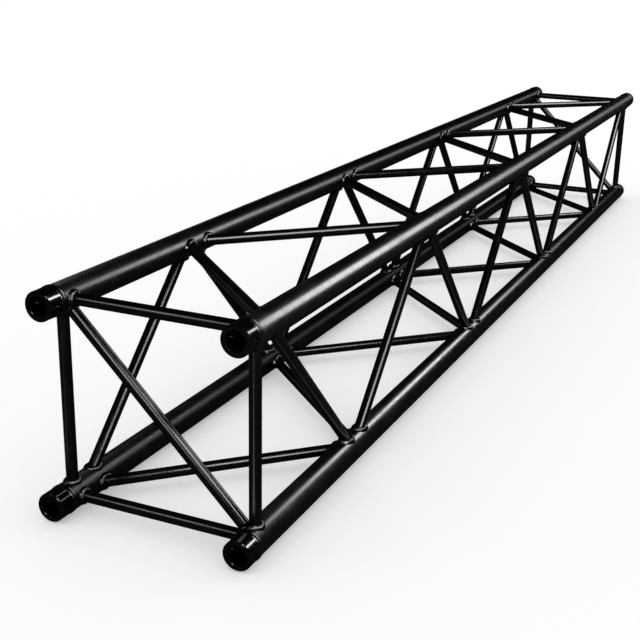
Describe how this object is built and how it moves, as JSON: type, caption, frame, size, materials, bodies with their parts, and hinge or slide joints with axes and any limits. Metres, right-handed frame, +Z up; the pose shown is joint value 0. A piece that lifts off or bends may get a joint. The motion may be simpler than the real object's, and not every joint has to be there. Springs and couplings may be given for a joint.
{
  "type": "lighting truss section",
  "caption": "Square box truss for hanging stage lighting, with tubular chords, zigzag web braces, braced end frames and pinned coupler receivers, coated black.",
  "frame": {"origin": "under the middle of the section, on the surface it rests on", "axes": "+X along the chords from the front end to the rear end, +Y to the left side, +Z up"},
  "size_m": [3, 0.3924, 0.3926],
  "materials": {
    "tubes": "semi-gloss black coating on aluminium",
    "receivers": "gloss black coating on aluminium",
    "weld_beads": "semi-gloss black coating on aluminium"
  },
  "bodies": {
    "root": {"chord_top_left": "tubes", "chord_top_right": "tubes", "chord_bottom_left": "tubes", "chord_bottom_right": "tubes", "receiver_front_top_left": "receivers", "receiver_front_top_right": "receivers", "receiver_front_bottom_left": "receivers", "receiver_front_bottom_right": "receivers", "receiver_rear_top_left": "receivers", "receiver_rear_top_right": "receivers", "receiver_rear_bottom_left": "receivers", "receiver_rear_bottom_right": "receivers", "post_front_left": "tubes", "post_front_right": "tubes", "post_rear_left": "tubes", "post_rear_right": "tubes", "rail_front_top": "tubes", "rail_front_bottom": "tubes", "rail_rear_top": "tubes", "rail_rear_bottom": "tubes", "diagonal_front": "tubes", "diagonal_rear": "tubes", "web_left_1": "tubes", "web_left_2": "tubes", "web_left_3": "tubes", "web_left_4": "tubes", "web_left_5": "tubes", "web_left_6": "tubes", "web_left_7": "tubes", "web_left_8": "tubes", "web_top_1": "tubes", "web_top_2": "tubes", "web_top_3": "tubes", "web_top_4": "tubes", "web_top_5": "tubes", "web_top_6": "tubes", "web_top_7": "tubes", "web_top_8": "tubes", "web_right_1": "tubes", "web_right_2": "tubes", "web_right_3": "tubes", "web_right_4": "tubes", "web_right_5": "tubes", "web_right_6": "tubes", "web_right_7": "tubes", "web_right_8": "tubes", "web_bottom_1": "tubes", "web_bottom_2": "tubes", "web_bottom_3": "tubes", "web_bottom_4": "tubes", "web_bottom_5": "tubes", "web_bottom_6": "tubes", "web_bottom_7": "tubes", "web_bottom_8": "tubes", "receiver_welds": "weld_beads", "welds_top_left": "weld_beads", "welds_top_right": "weld_beads", "welds_bottom_left": "weld_beads", "welds_bottom_right": "weld_beads"}
  },
  "joints": []
}
